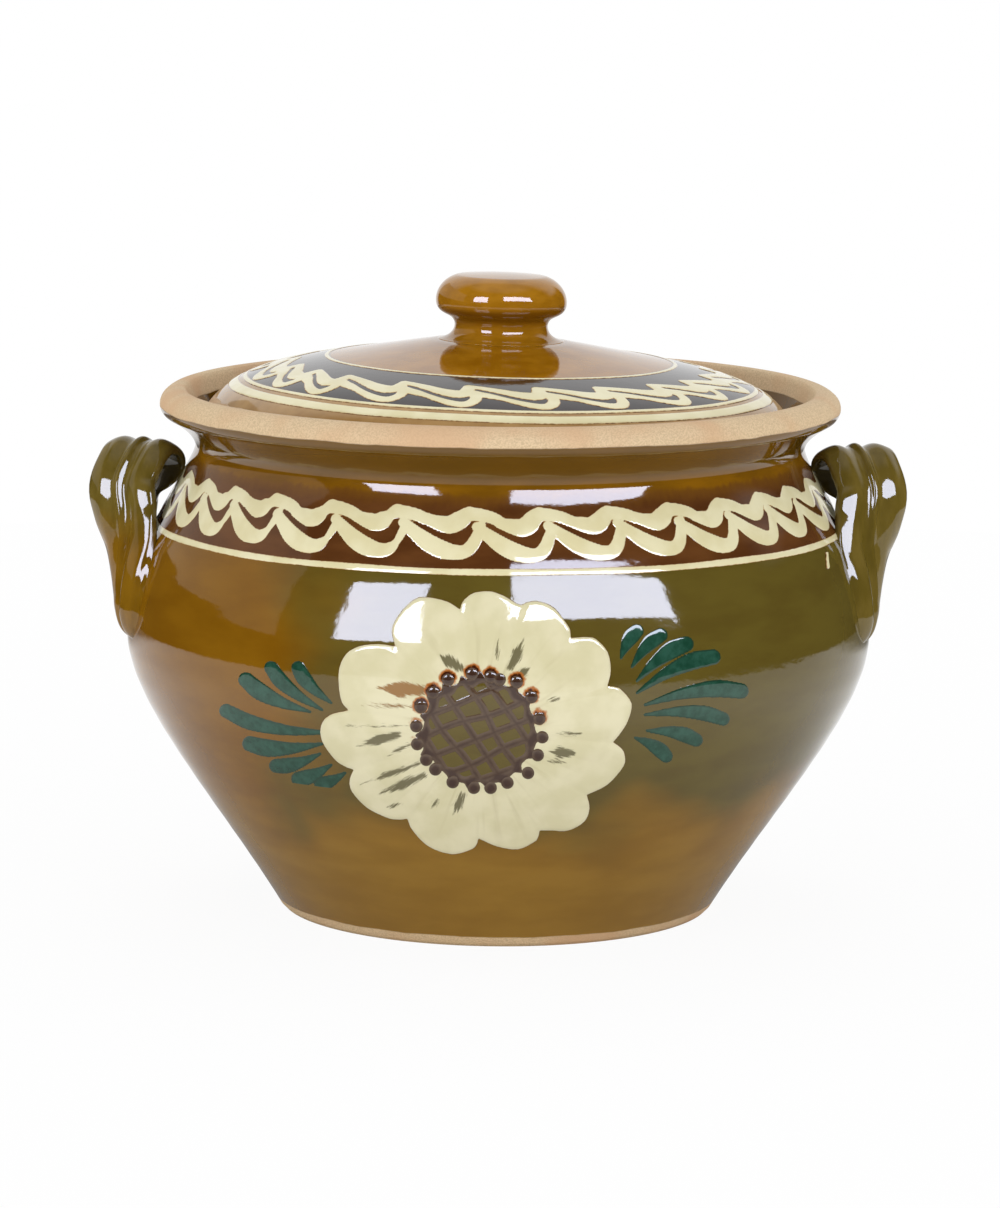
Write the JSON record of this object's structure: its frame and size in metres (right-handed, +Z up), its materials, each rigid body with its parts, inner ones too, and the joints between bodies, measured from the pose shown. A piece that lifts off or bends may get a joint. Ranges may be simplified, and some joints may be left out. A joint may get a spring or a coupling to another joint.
{
  "type": "lidded clay pot",
  "caption": "Round-bellied glazed clay pot with a rolled rim, ribbed strap handles and a domed knobbed lid that lifts out of a gallery inside the rim.",
  "frame": {"origin": "centre of the foot's flat underside, on the table", "axes": "+Z up along the axis the pot was thrown on, +X towards the right handle, -Y towards the decorated front"},
  "size_m": [0.2694, 0.2406, 0.2056],
  "materials": {
    "pot_glaze": "gloss",
    "handle_glaze": "gloss",
    "lid_glaze": "gloss"
  },
  "bodies": {
    "pot": {"pot_body": "pot_glaze", "left_handle": "handle_glaze", "right_handle": "handle_glaze"},
    "lid": {"lid_shell": "lid_glaze", "lid_knob": "lid_glaze"}
  },
  "joints": [
    {"name": "lid_lift", "type": "slide", "parent": "pot", "child": "lid", "axis": [0, 0, 1], "range_m": [0, 0.08]}
  ]
}
